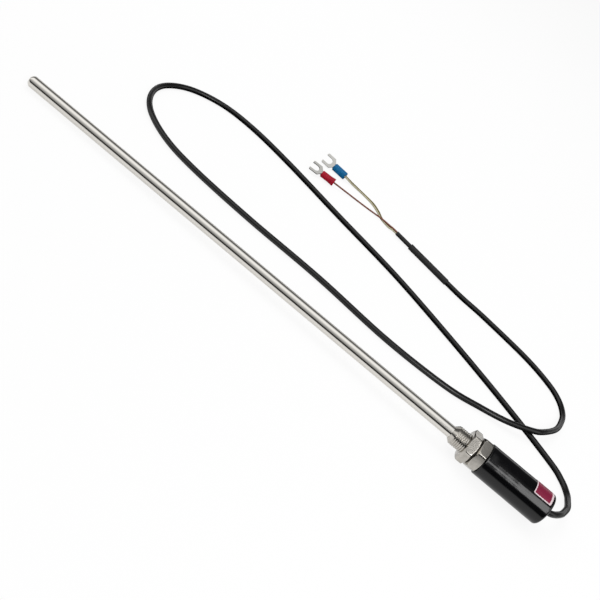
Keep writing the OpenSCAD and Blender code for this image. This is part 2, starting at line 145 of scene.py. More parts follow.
class ProbeColours(bpy.types.PropertyGroup):
    """Colours of the finishes, as sRGB hex values."""

    drawn_steel: coloured("Drawn steel", "Polished stainless tube", "#dddad4")
    turned_steel: coloured("Turned steel", "Satin turned stainless steel", "#c5c1ba")
    dull_steel: coloured("Dull steel", "Handled patches of the turned steel", "#57534c")
    abs_black: coloured("ABS black", "Glossy moulded head", "#08080a")
    film_field: coloured("Label field", "Printed field of the label", "#8c1a40")
    film_border: coloured("Label border", "Bare border of the label", "#f3dfe3")
    pvc_black: coloured("PVC black", "Cable jacket", "#080808")
    shrink_black: coloured("Shrink black", "Shrink sleeve", "#2e2e2e")
    wire_red: coloured("Red wire", "Insulation of the red wire", "#86503e")
    wire_yellow: coloured("Yellow wire", "Insulation of the yellow wire", "#786a2e")
    wire_white: coloured("Pale wire", "Insulation of the pale wire", "#c8c2a4")
    tin: coloured("Tin", "Tin-plated copper", "#c6c5c1")
    vinyl_red: coloured("Red vinyl", "Red terminal sleeve", "#b00c2a")
    vinyl_blue: coloured("Blue vinyl", "Blue terminal sleeve", "#0a6ca2")
    rubber: coloured("Rubber", "Seal rings", "#2e2a26")
    floor: coloured("Floor", "Surface that the probe lies on", "#ffffff")


def sizes():
    """The sizes that the panel shows."""
    return bpy.context.scene.probe_sizes


def colours():
    """The colours that the panel shows."""
    return bpy.context.scene.probe_colours


def linear(code):
    """Linear RGBA of an sRGB hex value."""
    channels = [int(code[i : i + 2], 16) / 255 for i in (1, 3, 5)]
    return [c / 12.92 if c <= 0.04045 else ((c + 0.055) / 1.055) ** 2.4 for c in channels] + [1.0]


def mixed(code_a, code_b, share):
    """Linear RGBA between two hex values."""
    return [a + (b - a) * share for a, b in zip(linear(code_a), linear(code_b))]


# Places along the probe's own axis


def nut_back():
    """Rear face of the lock nut, in front of the seal ring."""
    return -2 * sizes().face_gap - sizes().ring_width


def nut_front():
    """Front face of the lock nut."""
    return nut_back() - sizes().nut_width


def tail_end():
    """Rear end of the fitting's tail, inside the head."""
    return sizes().hex_width + sizes().tail_length


def head_rear():
    """Rear face of the head, where the cable leaves it."""
    return sizes().hex_width + sizes().head_length


def shoulder():
    """Where the fitting's shoulder meets the probe's axis. The nut's joint is at the middle of the nut."""
    nut = next(j for j in frame["record"]["behaviour"]["joints"] if j["name"] == "nut_turn")
    return Vector(nut["pos_m"]) - AXIS * (nut_front() + nut_back()) / 2


def lie():
    """Turns what is modelled along the probe's own axis to where the probe lies."""
    return Matrix.Translation(shoulder()) @ Matrix.Rotation(-TILT, 4, "Y")


def on_axis(x):
    """The point at that place along the probe's axis."""
    return shoulder() + AXIS * x


def corner_angle(node):
    """Angle round the axis of the hexagon's lowest corner, from where the node's mesh is lowest."""
    inverse = lie().inverted()
    places = [inverse @ v.co for v in frame["nodes"][node].data.vertices]
    reach = max(math.hypot(place.y, place.z) for place in places)
    rim = [place for place in places if math.hypot(place.y, place.z) > reach - 0.02 * MM]
    lowest = min(rim, key=lambda place: place.z)
    return math.atan2(lowest.z, lowest.y)


# Cable and wires: points of their routes in millimetres, the same as in the part's source

CABLE_ROUTE = [
    (212, 2, 12.4), (218, 9, 11.4), (222, 18, 9.1), (225, 27, 6.4), (226, 36, 4), (225, 45, 2.5),
    (219, 54, 2.1), (207, 62, 2.1), (164, 80, 2.1), (110, 99, 2.1), (50, 117, 2.1), (-10, 129, 2.1),
    (-67, 141, 2.1), (-106, 146, 2.1), (-135, 143, 2.1), (-158, 129, 2.1), (-169, 108, 2.1),
    (-167, 87, 2.1), (-154, 68, 2.1), (-130, 54, 2.1), (-100, 48, 2.1), (-50, 46, 2.1),
    (10, 47, 2.1), (70, 44, 2.1), (120, 48, 2.1), (148, 56, 2.4), (168, 61, 4.6), (185, 69, 6.5),
    (194, 77, 6.7), (204, 94, 4.9), (208, 110, 2.9), (208, 123, 2.1), (202, 135, 2.1),
    (190, 144, 2.1), (166, 152, 2.1), (124, 157.5, 2.1), (101, 158.4, 2.2),
]
RED_ROUTE = [(22, 171, 2.5), (14, 172.2, 1.9), (2, 172, 0.9), (-10, 170.5, 0.8), (-21, 167.5, 1.7)]
YELLOW_ROUTE = [
    (22, 171.6, 1.2), (14, 174.8, 0.7), (8, 180.2, 0.7),
    (0, 185, 0.7), (-12, 186.9, 0.7), (-22, 186.8, 1.4),
]
WHITE_ROUTE = [
    (22, 170, 1.1), (13.6, 173.2, 0.7), (7, 178.6, 0.7),
    (-1, 183.2, 0.7), (-12, 185.4, 0.7), (-22, 185, 1.4),
]
BOOT_DIRECTION = Vector((-6, 1, 0)).normalized()
BOOT_WRINKLE = 0.07 * MM
LINER_WALL = 0.3 * MM
LINER_WRINKLE = 0.05 * MM

# A terminal: the middle of its sleeve's mouth, where it points and how it is rolled about its own axis
Terminal = namedtuple("Terminal", "mouth turn roll")
RED = Terminal(Vector((-33, 163.4, 3.1)) * MM, math.radians(186.5), math.radians(-24))
BLUE = Terminal(Vector((-31, 184.4, 3.1)) * MM, math.radians(175.5), math.radians(-45))

# How far a wire runs into its terminal, and where the cable's jacket begins inside the head
BARREL_START = 5.1 * MM
JACKET_START = 43 * MM


def boot_start():
    """Where the shrink sleeve begins on the cable, its underside on the surface."""
    return Vector((84 * MM, 160 * MM, sizes().boot_diameter / 2))


def along_boot(distance):
    """The point that far past the shrink sleeve's beginning."""
    return boot_start() + BOOT_DIRECTION * distance


def in_metres(points):
    """Points in millimetres as vectors in metres."""
    return [Vector(point) * MM for point in points]


def heading(angle):
    """Level direction at that angle from X."""
    return Vector((math.cos(angle), math.sin(angle), 0))


def sideways(angle):
    """Level direction to the left of that one."""
    return Vector((-math.sin(angle), math.cos(angle), 0))


# Mesh and curve building


def show(piece, body, node, slot, *materials):
    """Links a new piece that rides on a body, in place of a node's solid, and gives it its finish."""
    bpy.context.scene.collection.objects.link(piece)
    for material in materials:
        piece.data.materials.append(material)
    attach(piece, body)
    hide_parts(node)


def fine(profile, step, closed=True):
    """The profile's points, no further apart than step. An open profile leaves out its last point."""
    following = profile[1:] + profile[:1] if closed else profile[1:]
    points = []
    for (x0, r0), (x1, r1) in zip(profile, following):
        count = max(1, math.ceil(math.hypot(x1 - x0, r1 - r0) / step))
        points += [(x0 + (x1 - x0) * k / count, r0 + (r1 - r0) * k / count) for k in range(count)]
    return points


def arc(x, r, radius, start, end, count):
    """Points of a round stretch of a profile, about (x, r), angles in degrees from the axis."""
    turns = [math.radians(start + (end - start) * k / count) for k in range(count + 1)]
    return [(x + radius * math.cos(a), r + radius * math.sin(a)) for a in turns]


def ring_outline(start, end, bore, outer, soft, count):
    """Outline of a ring or sleeve with rounded outer edges."""
    front = arc(start + soft, outer - soft, soft, 180, 90, count)
    rear = arc(end - soft, outer - soft, soft, 90, 0, count)
    return [(start, bore)] + front + rear + [(end, bore)]


def crisp(mesh):
    """Shades a mesh smooth but for its sharp edges."""
    mesh.shade_smooth()
    mesh.set_sharp_from_angle(angle=SHARP_ANGLE)


def revolve(name, profile, place, segments, first_angle=0.0, reshape=None):
    """Closed ring of a profile turned about x. reshape gives the radius for a place, radius and angle."""
    points = []
    for x, r in profile:
        for k in range(segments):
            angle = first_angle + 2 * math.pi * k / segments
            radius = reshape(x, r, angle) if reshape else r
            points.append(place @ Vector((x, radius * math.cos(angle), radius * math.sin(angle))))
    rings = len(profile)
    faces = []
    for i in range(rings):
        near, far = i * segments, (i + 1) % rings * segments
        for k in range(segments):
            beside = (k + 1) % segments
            faces.append((near + k, near + beside, far + beside, far + k))
    mesh = bpy.data.meshes.new(name)
    mesh.from_pydata(points, [], faces)
    mesh.validate()
    mesh.update()
    crisp(mesh)
    return bpy.data.objects.new(name, mesh)


def soft_min(values, softness):
    """The smallest value, rounded off where two are alike."""
    least = min(values)
    return least - softness * math.log(sum(math.exp((least - v) / softness) for v in values))


def hexagon_radius(radius, angle, corner):
    """Radius on a hexagon with worn edges, limited by the turned chamfers' radius."""
    half = sizes().hex_flats / 2
    flats = []
    for k in range(6):
        lean = math.cos(angle - corner - HALF_FLAT - k * 2 * HALF_FLAT)
        # Flats that face away don't limit the radius
        if lean > 0.5:
            flats.append(half / lean)
    return soft_min(flats + [radius], sizes().edge_round)


def hexagon_profile(start, end):
    """Outline of a hexagon's corners between two places on the axis, chamfered at both ends."""
    size = sizes()
    full = size.hex_flats / 2 / math.cos(HALF_FLAT) - size.corner_cut
    rim = size.hex_flats / 2 - size.hex_inset
    run = (full - rim) * math.tan(CHAMFER_ANGLE)
    chamfer_step = 0.12 * MM
    front = fine([(start, rim), (start + run, full)], chamfer_step, closed=False)
    middle = fine([(start + run, full), (end - run, full)], 1 * MM, closed=False)
    rear = fine([(end - run, full), (end, rim)], chamfer_step, closed=False)
    return front + middle + rear + [(end, rim)]


def swept(name, points, diameter, sides):
    """Round cord on one smooth curve through the points, straight into its first and last point."""
    curve = bpy.data.curves.new(name, "CURVE")
    curve.dimensions = "3D"
    curve.resolution_u = 10
    curve.bevel_depth = diameter / 2
    curve.bevel_resolution = sides
    curve.use_fill_caps = True
    spline = curve.splines.new("BEZIER")
    spline.bezier_points.add(len(points) - 1)
    for i, knot in enumerate(spline.bezier_points):
        before = points[max(0, i - 1)]
        after = points[min(len(points) - 1, i + 1)]
        # A sixth of the way between the neighbours gives a curve of even bend through all points
        reach = (after - before) / 6
        knot.handle_left_type = knot.handle_right_type = "FREE"
        knot.co = points[i]
        knot.handle_left = points[i] - reach
        knot.handle_right = points[i] + reach
    return bpy.data.objects.new(name, curve)


# Materials


def add(tree, kind, inputs=None, **settings):
    """Adds a node, with its settings, values and links, and returns it."""
    node = tree.nodes.new(kind)
    for key, value in settings.items():
        setattr(node, key, value)
    for socket, value in (inputs or {}).items():
        if isinstance(value, bpy.types.NodeSocket):
            tree.links.new(value, node.inputs[socket])
        else:
            node.inputs[socket].default_value = value
    return node


FINISHES = {}


def empty_material(name):
    """New material without nodes."""
    material = bpy.data.materials.new(name)
    material.use_nodes = True
    material.node_tree.nodes.clear()
    return material


def finish(name, surface):
    """The finish of that name. surface(tree) gives its shader's inputs the first time it is asked for."""
    if name not in FINISHES:
        material = empty_material(name)
        tree = material.node_tree
        shader = add(tree, "ShaderNodeBsdfPrincipled", surface(tree))
        add(tree, "ShaderNodeOutputMaterial", {"Surface": shader.outputs["BSDF"]})
        FINISHES[name] = material
    return FINISHES[name]


def noise(tree, scale, detail, roughness=0.5, stretch=None):
    """Noise fixed to the piece, scale patches in a metre. stretch multiplies them along each axis."""
    place = add(tree, "ShaderNodeTexCoord").outputs["Object"]
    if stretch:
        place = add(tree, "ShaderNodeMapping", {"Vector": place, "Scale": stretch}).outputs[0]
    inputs = {"Vector": place, "Scale": scale, "Detail": detail, "Roughness": roughness}
    return add(tree, "ShaderNodeTexNoise", inputs).outputs[0]


def spread(tree, value, low, high):
    """A value of 0 to 1 spread from low to high."""
    return add(tree, "ShaderNodeMapRange", {"Value": value, "To Min": low, "To Max": high}).outputs[0]


def toned(tree, value, dark, light, start, end):
    """Colour that goes from dark to light while the value goes from start to end."""
    ramp = add(tree, "ShaderNodeValToRGB", {"Fac": value})
    first, last = ramp.color_ramp.elements
    first.position = start
    first.color = dark
    last.position = end
    last.color = light
    return ramp.outputs[0]


def bumped(tree, height, strength, depth_mm):
    """Normal of a surface with a relief of that depth."""
    inputs = {"Height": height, "Strength": strength, "Distance": depth_mm * MM}
    return add(tree, "ShaderNodeBump", inputs).outputs[0]


def worked_out(tree, operation, a, b):
    """Result of a calculation with two values."""
    return add(tree, "ShaderNodeMath", {0: a, 1: b}, operation=operation).outputs[0]


def ramped(tree, value, start, end, low, high):
    """Goes smoothly from low to high while the value goes from start to end."""
    ends = {"Value": value, "From Min": start, "From Max": end, "To Min": low, "To Max": high}
    return add(tree, "ShaderNodeMapRange", ends, interpolation_type="SMOOTHSTEP").outputs[0]


def blend(tree, share, first, second):
    """Shader between two others."""
    return add(tree, "ShaderNodeMixShader", {0: share, 1: first, 2: second}).outputs[0]


def matt(tree, level):
    """Matt grey surface."""
    return add(tree, "ShaderNodeBsdfDiffuse", {"Color": (level, level, level, 1)}).outputs[0]


def glowing(tree, reflected, glow):
    """White surface that keeps part of the shadows: a matt share and a share that glows."""
    light = add(tree, "ShaderNodeEmission", {"Color": linear(colours().floor), "Strength": glow})
    both = {0: matt(tree, reflected), 1: light.outputs[0]}
    return add(tree, "ShaderNodeAddShader", both).outputs[0]


def sky(tree, colour, strength):
    """Light of the surroundings."""
    return add(tree, "ShaderNodeBackground", {"Color": colour, "Strength": strength}).outputs[0]


def bands(tree, angle, levels):
    """Grey levels at angles over the studio."""
    turn = add(tree, "ShaderNodeMapRange", {"Value": angle, "From Min": -math.pi, "From Max": math.pi})
    ramp = add(tree, "ShaderNodeValToRGB", {"Fac": turn.outputs[0]})
    stops = ramp.color_ramp.elements
    while len(stops) < len(levels):
        stops.new(0.5)
    for stop, (degrees, level) in zip(stops, levels):
        stop.position = min(1.0, (degrees + 180) / 360)
        stop.color = (level, level, level, 1)
    return ramp.outputs[0]


def drawn_stainless():
    """Stainless tube, drawn and polished: mirror-like across, with faint lengthwise draw lines."""

    def surface(tree):
        # Draw lines are hairs of 0.05 mm, drawn 0.3 mm wide and 40 mm long so that they show
        lines = noise(tree, 1.0, 3.0, stretch=(25, 3300, 3300))
        clouds = noise(tree, 60.0, 4.0)
        return {
            "Base Color": linear(colours().drawn_steel),
            "Metallic": 1.0,
            "Roughness": spread(tree, clouds, 0.09, 0.15),
            "Normal": bumped(tree, lines, 0.04, 0.02),
        }

    return finish("drawn_stainless", surface)


def turned_stainless():
    """Bar turned and tumbled: satin, warm grey, with a fine grain and duller patches."""

    def surface(tree):
        # Tumbling leaves a grain of about 0.4 mm, and handling leaves patches of about 4 mm
        grain = noise(tree, 2500.0, 2.0)
        patches = noise(tree, 250.0, 5.0, roughness=0.6)
        bright = linear(colours().turned_steel)
        dull = mixed(colours().turned_steel, colours().dull_steel, 0.3)
        return {
            "Base Color": toned(tree, patches, dull, bright, 0.3, 0.62),
            "Metallic": 1.0,
            "Roughness": spread(tree, patches, 0.17, 0.12),
            "Normal": bumped(tree, grain, 0.05, 0.03),
        }

    return finish("turned_stainless", surface)


def turned_brass():
    """Plain turned brass, as it comes from the lathe."""

    def surface(tree):
        return {
            "Base Color": linear("#cfa85e"),
            "Metallic": 1.0,
            "Roughness": spread(tree, noise(tree, 2500.0, 2.0), 0.22, 0.34),
        }

    return finish("turned_brass", surface)


def tinned_copper():
    """Stamped copper with a thin tin plating: pale, satin, slightly streaked."""

    def surface(tree):
        # Plating streaks are about 0.5 mm apart
        streaks = noise(tree, 2000.0, 3.0)
        return {
            "Base Color": linear(colours().tin),
            "Metallic": 1.0,
            "Roughness": spread(tree, streaks, 0.16, 0.28),
            "Normal": bumped(tree, streaks, 0.1, 0.02),
        }

    return finish("tin_plated_copper", surface)


def moulded_abs():
    """ABS from a polished mould: deep black and glossy, with faint sinks and handling haze."""

    def surface(tree):
        haze = noise(tree, 220.0, 5.0, roughness=0.6)
        skin = noise(tree, 900.0, 2.0)
        return {
            "Base Color": linear(colours().abs_black),
            "Roughness": spread(tree, haze, 0.07, 0.15),
            "IOR": 1.42,
            "Normal": bumped(tree, skin, 0.12, 0.05),
        }

    return finish("moulded_abs", surface)


def plain_finish(name, colour, roughness, ior, grain_mm, depth_mm, subsurface=0.0):
    """Extruded, moulded or cast finish: one colour, faintly mottled, with a grain of that size."""

    def surface(tree):
        grain = noise(tree, 1000.0 / grain_mm, 3.0)
        mottle = noise(tree, 120.0, 4.0)
        full = linear(colour)
        darker = [channel * 0.82 for channel in full[:3]] + [1.0]
        return {
            "Base Color": toned(tree, mottle, darker, full, 0.3, 0.7),
            "Roughness": spread(tree, grain, roughness - 0.05, roughness + 0.07),
            "IOR": ior,
            "Normal": bumped(tree, grain, 0.35, depth_mm),
            "Subsurface Weight": subsurface,
            "Subsurface Scale": 0.6 * MM,
        }

    return finish(name, surface)


def label_film(name, colour):
    """Printed vinyl film: satin, with a faint unevenness of the ink."""
    return plain_finish(name, colour, 0.34, 1.5, 0.6, 0.004)


def moulded_rubber():
    """Nitrile rubber from a plain mould: near black and dull."""
    return plain_finish("moulded_nitrile", colours().rubber, 0.62, 1.52, 0.15, 0.01)


def wire_insulation(name, colour):
    """Thin extruded insulation: smooth, with a soft gloss."""
    return plain_finish(name, colour, 0.36, 1.5, 0.4, 0.006)


def pvc_jacket():
    """Extruded PVC: black, semi-gloss, with the fine orange peel of the die."""
    return plain_finish("extruded_pvc", colours().pvc_black, 0.27, 1.5, 0.5, 0.008)


def shrunk_sleeve():
    """Heat-shrunk polyolefin: black and duller than the jacket, slightly wrinkled."""
    return plain_finish("shrunk_polyolefin", colours().shrink_black, 0.5, 1.34, 0.6, 0.03)


def moulded_vinyl(name, colour):
    """Soft vinyl sleeve: satin, and a little light passes its thin wall."""
    return plain_finish(name, colour, 0.32, 1.33, 0.5, 0.01, subsurface=0.05)


def hidden_finishes():
    """Finish of each node that is sealed inside the probe and keeps its own solid."""
    alumina = plain_finish("fired_alumina", "#e9e4d6", 0.7, 1.6, 0.3, 0.01)
    epoxy = plain_finish("cast_epoxy", "#3a2c22", 0.35, 1.55, 1.0, 0.01)
    return {
        "sensing_element": alumina,
        "powder_fill": plain_finish("packed_magnesia", "#efeeea", 0.9, 1.5, 0.2, 0.03),
        "ceramic_beads": alumina,
        "lead_wires": turned_stainless(),
        "sheath_seal": epoxy,
        "potting": epoxy,
        "tail_o_ring": moulded_rubber(),
        "splices": plain_finish("shrunk_red_sleeve", "#7c2018", 0.5, 1.5, 0.3, 0.01),
        "core_tails": wire_insulation("extruded_pale_insulation", colours().wire_white),
        "crimp_ring": turned_brass(),
    }


def refinish(node, material):
    """Gives a carried-over solid its finish."""
    mesh = frame["nodes"][node].data
    mesh.materials.clear()
    mesh.materials.append(material)


# Camera: its place in metres, its azimuth, elevation and roll in degrees, and its lens in millimetres
CAMERA_PLACE = (0.02898, -0.41380, 0.30020)
CAMERA_TURNS = (-2.389, 34.882, 39.523)
CAMERA_LENS = 49.55

# Lamps: name, place, aim, width, height and power
LAMPS = (
    ("soft_top", (-0.3, 0.5, 1.1), (0, 0, 0), 0.9, 0.9, 5.0),
    ("front_card", (0.59, -0.66, 0.69), (0.59, 0, 0.01), 0.32, 0.7, 3.4),
    ("edge_strip", (0.39, -0.676, 0.653), (0.39, 0, 0.01), 0.08, 0.18, 0.23),
)

# Grey levels that metal and gloss mirror, at angles over the studio from the front horizon at 0
# to the rear one at 180
MAIN_BANDS = (
    (-12, 0.02), (14, 0.02), (24, 0.26), (36, 0.36), (58, 0.72), (76, 1.0),
    (98, 1.0), (110, 0.5), (121, 0.12), (154, 0.12), (164, 0.7), (180, 0.85),
)
RIGHT_BANDS = (
    (-12, 0.02), (16, 0.02), (28, 0.4), (60, 0.26), (76, 0.22),
    (88, 0.06), (158, 0.06), (168, 0.7), (180, 0.8),
)

# The dimmer stretch of the studio on the right, by the sideways part of a direction: where it fades
# in and where it fades out
RIGHT_BEGINS = (0.17, 0.23)
RIGHT_ENDS = (0.42, 0.6)

# Painted reflection: a pale pool on the floor that glows only to metal and gloss, with painted shade
# beyond it: how far from its middle line it begins to fade and has faded, and how that line is turned
PAINTED_GLOW_EDGE = (26 * MM, 80 * MM)
PAINTED_GLOW_TURN = math.radians(4.5)
FLOOR_REACH = 6.0


# Operators: one for each piece or group of like pieces


class PROBE_OT_camera(bpy.types.Operator):
    """Adds the camera, which looks down on the probe from its long side"""

    bl_idname = "probe.add_camera"
    bl_label = "Add Camera"

    def execute(self, context):
        azimuth, elevation, roll = (math.radians(turn) for turn in CAMERA_TURNS)
        level = Vector((math.sin(azimuth), math.cos(azimuth), 0))
        ahead = level * math.cos(elevation) - Vector((0, 0, math.sin(elevation)))
        right = Vector((math.cos(azimuth), -math.sin(azimuth), 0))
        down = ahead.cross(right)
        image_right = right * math.cos(roll) - down * math.sin(roll)
        image_down = right * math.sin(roll) + down * math.cos(roll)
        data = bpy.data.cameras.new("camera")
        data.sensor_width = 36.0
        data.lens = CAMERA_LENS
        data.clip_start = 0.01
        camera = bpy.data.objects.new("camera", data)
        turn = Matrix((image_right, -image_down, -ahead)).transposed()
        camera.matrix_world = Matrix.Translation(CAMERA_PLACE) @ turn.to_4x4()
        context.scene.collection.objects.link(camera)
        context.scene.camera = camera
        return {"FINISHED"}


class PROBE_OT_cable(bpy.types.Operator):
    """Adds the cable in its loops, the shrink sleeve over its end and the inner sleeve"""

    bl_idname = "probe.add_cable"
    bl_label = "Add Cable"

    def execute(self, context):
        size = sizes()
        start = [on_axis(JACKET_START), on_axis(head_rear())]
        end = [boot_start(), along_boot(size.cable_stop)]
        cable = swept("cable_jacket", start + in_metres(CABLE_ROUTE) + end, size.cable_diameter, 6)
        show(cable, "probe", "cable", "cable_jacket", pvc_jacket())
        boot = self.sleeve(
            "shrink_sleeve", 0, size.boot_length, size.boot_diameter, size.cable_diameter, BOOT_WRINKLE
        )
        show(boot, "probe", "shrink_boot", "shrink_tube", shrunk_sleeve())
        stop = size.cable_stop + size.liner_length
        bore = size.liner_diameter - 2 * LINER_WALL
        liner = self.sleeve("inner_sleeve", size.cable_stop, stop, size.liner_diameter, bore, LINER_WRINKLE)
        show(liner, "probe", "core_sleeve", "core_tube", shrunk_sleeve())
        return {"FINISHED"}

    def sleeve(self, name, start, stop, outer, inner, wrinkle):
        """Thin sleeve on the cable's last straight stretch, with shallow wrinkles and soft rims."""
        rim = 0.4 * MM
        profile = fine(ring_outline(start, stop, inner / 2, outer / 2, rim, 3), 0.5 * MM)

        def reshape(x, r, angle):
            if r < outer / 2 - rim:
                return r
            # Two slow waves that wind round the sleeve
            along = x / MM
            wave = math.sin(2.1 * along + 2 * math.sin(angle)) + math.sin(1.27 * along + 3 * angle)
            return r - wrinkle * (0.5 + wave / 4)

        turn = BOOT_DIRECTION.to_track_quat("X", "Z").to_matrix().to_4x4()
        place = Matrix.Translation(boot_start()) @ turn
        return revolve(name, profile, place, segments=40, reshape=reshape)


class PROBE_OT_wires(bpy.types.Operator):
    """Adds the three wires from the inner sleeve to their terminals"""

    bl_idname = "probe.add_wires"
    bl_label = "Add Wires"

    def execute(self, context):
        colour = colours()
        side = sizes().wire_diameter / 2 + BONDED_GAP
        self.wire("red_insulation", "red_wire", 90, RED_ROUTE, RED, 0, colour.wire_red)
        self.wire("yellow_insulation", "yellow_wire", 210, YELLOW_ROUTE, BLUE, -side, colour.wire_yellow)
        self.wire("pale_insulation", "white_wire", 330, WHITE_ROUTE, BLUE, side, colour.wire_white)
        return {"FINISHED"}

    def wire(self, name, node, angle, route, terminal, side, colour):
        """One wire: straight in the bundle, along its route and straight into its terminal."""
        size = sizes()
        # The three wires touch round the bundle's middle, each at its own angle
        up = Vector((0, 0, 1))
        across = up.cross(BOOT_DIRECTION)
        lean = math.radians(angle)
        reach = size.wire_diameter / 2 / math.cos(HALF_FLAT) + BUNDLE_GAP
        offset = (across * math.cos(lean) + up * math.sin(lean)) * reach
        bundle = [
            along_boot(size.cable_stop + END_GAP) + offset,
            along_boot(size.cable_stop + size.liner_length + 1 * MM) + offset,
        ]
        first = terminal.mouth + sideways(terminal.turn) * side
        lead_in = [first, first + heading(terminal.turn) * (BARREL_START - END_GAP)]
        piece = swept(name, bundle + in_metres(route) + lead_in, size.wire_diameter, 4)
        slot = next(s["material_slot"] for s in frame["record"]["subparts"] if s["node"] == node)
        show(piece, "probe", node, slot, wire_insulation(f"extruded_{name}", colour))


class PROBE_OT_terminals(bpy.types.Operator):
    """Finishes the two fork terminals and adds their flared plastic sleeves"""

    bl_idname = "probe.add_terminals"
    bl_label = "Add Terminals"

    def execute(self, context):
        size = sizes()
        red_vinyl = moulded_vinyl("soft_vinyl_red", colours().vinyl_red)
        red = self.grip("red_sleeve", size.red_grip, size.red_spread, RED)
        show(red, "probe", "red_grip", "red_vinyl", red_vinyl)
        blue_vinyl = moulded_vinyl("soft_vinyl_blue", colours().vinyl_blue)
        blue = self.grip("blue_sleeve", size.blue_grip, size.blue_spread, BLUE)
        show(blue, "probe", "blue_grip", "blue_vinyl", blue_vinyl)
        for node in ("red_fork", "blue_fork"):
            refinish(node, tinned_copper())
        return {"FINISHED"}

    def grip(self, name, body, widening, terminal):
        """Plastic sleeve, flared at its mouth and pressed oval with two shallow flats by the crimp."""
        size = sizes()
        depth = size.grip_mouth_depth
        end = size.grip_length
        lip = 0.8 * MM
        rim = 0.25 * MM
        soft = 0.5 * MM
        crimp_place = depth + 3.4 * MM
        crimp_width = 1.5 * MM
        crimp_depth = 0.32 * MM
        mouth = size.grip_mouth / 2
        bore = body / 2 - size.grip_wall
        profile = (
            [(depth, bore), (0.3 * MM, mouth - soft)] + arc(rim, mouth - rim, rim, 180, 90, 4)
            + [(lip, mouth), (depth, body / 2), (end - soft, body / 2), (end, body / 2 - 0.4 * MM)]
            + [(end, bore)]
        )

        def reshape(x, r, angle):
            if r <= bore + 0.05 * MM or x < lip:
                return r
            oval = widening / 2 * min(1.0, (x - lip) / (depth - lip)) * math.cos(angle) ** 2
            if x < depth:
                return r + oval
            dent = math.exp(-(((x - crimp_place) / crimp_width) ** 2)) * abs(math.sin(angle)) ** 6
            return r + oval - crimp_depth * dent

        turn = Matrix.Rotation(terminal.turn, 4, "Z") @ Matrix.Rotation(terminal.roll, 4, "X")
        place = Matrix.Translation(terminal.mouth) @ turn
        return revolve(name, fine(profile, 0.35 * MM), place, segments=48, reshape=reshape)


class PROBE_OT_sheath(bpy.types.Operator):
    """Finishes the sheath and the pieces that are sealed inside the probe"""

    bl_idname = "probe.finish_sheath"
    bl_label = "Finish Sheath"

    def execute(self, context):
        refinish("sheath", drawn_stainless())
        for node, material in hidden_finishes().items():
            refinish(node, material)
        return {"FINISHED"}


class PROBE_OT_fitting(bpy.types.Operator):
    """Adds the turned fitting with its thread and hexagon"""

    bl_idname = "probe.add_fitting"
    bl_label = "Add Fitting"

    def execute(self, context):
        size = sizes()
        bore = size.sheath_diameter / 2 + BONDED_GAP
        crest = size.thread_diameter / 2
        tail = size.tail_diameter / 2
        front = -size.thread_length - size.cone_length
        relief = 0.4 * MM
        cone = [(front, bore), (front, bore + 0.26 * MM), (-size.thread_length, crest)]
        thread = [(-size.thread_length, crest), (0, crest)]
        profile = (
            fine(cone, 0.2 * MM, closed=False)
            + fine(thread, size.thread_pitch / 16, closed=False)
            + [(0, crest)] + hexagon_profile(0, size.hex_width)
            + [(size.hex_width, tail), (tail_end(), tail), (tail_end(), bore)]
        )
        corner = corner_angle("fitting")

        def reshape(x, r, angle):
            if -size.thread_length <= x < -relief and r > crest - 0.01 * MM:
                return crest - self.groove(x, angle)
            if 0 <= x <= size.hex_width and r > tail:
                return hexagon_radius(r, angle, corner)
            return r

        piece = revolve("turned_fitting", profile, lie(), segments=216, first_angle=corner, reshape=reshape)
        show(piece, "probe", "fitting", "nickel_steel", turned_stainless())
        return {"FINISHED"}

    def groove(self, x, angle):
        """Depth of the right-hand thread below its crest, whose front is turned down."""
        size = sizes()
        turns = (x + size.thread_length) / size.thread_pitch - angle / (2 * math.pi)
        # From 0 on a crest to 1 on a root, both a little flat
        wave = abs((turns % 1.0) - 0.5) * 2
        flat = 0.12
        flank = min(1.0, max(0.0, (wave - flat) / (1 - 2 * flat)))
        # Over the first half turn the crest is turned down
        begun = min(1.0, (x + size.thread_length) / (size.thread_pitch / 2))
        turned_down = 0.7 * (1 - 0.4 * flank)
        return size.thread_depth * (flank * begun + turned_down * (1 - begun))


class PROBE_OT_nut(bpy.types.Operator):
    """Adds the lock nut and the seal ring behind it"""

    bl_idname = "probe.add_nut"
    bl_label = "Add Lock Nut"

    def execute(self, context):
        self.nut()
        self.seal()
        return {"FINISHED"}

    def bore(self):
        """Radius of the hole that runs on the thread."""
        return sizes().thread_diameter / 2 + THREAD_GAP

    def nut(self):
        """Hexagon with chamfers, a plain bore and a countersink at its front."""
        bore = self.bore()
        countersink = 0.3 * MM
        profile = (
            [(nut_back(), bore), (nut_front() + countersink, bore), (nut_front(), bore + countersink)]
            + hexagon_profile(nut_front(), nut_back())
        )
        corner = corner_angle("lock_nut")

        def reshape(x, r, angle):
            return hexagon_radius(r, angle, corner) if r > bore + 1 * MM else r

        nut = revolve("lock_nut_body", profile, lie(), segments=216, first_angle=corner, reshape=reshape)
        show(nut, "nut", "lock_nut", "nut_steel", turned_stainless())

    def seal(self):
        """Flat ring with a rounded outer edge."""
        size = sizes()
        back = -size.face_gap
        front = back - size.ring_width
        profile = ring_outline(front, back, self.bore(), size.ring_diameter / 2, 0.25 * MM, 4)
        ring = revolve("moulded_seal", fine(profile, 0.5 * MM), lie(), segments=128)
        show(ring, "ring", "seal_ring", "seal_rubber", moulded_rubber())


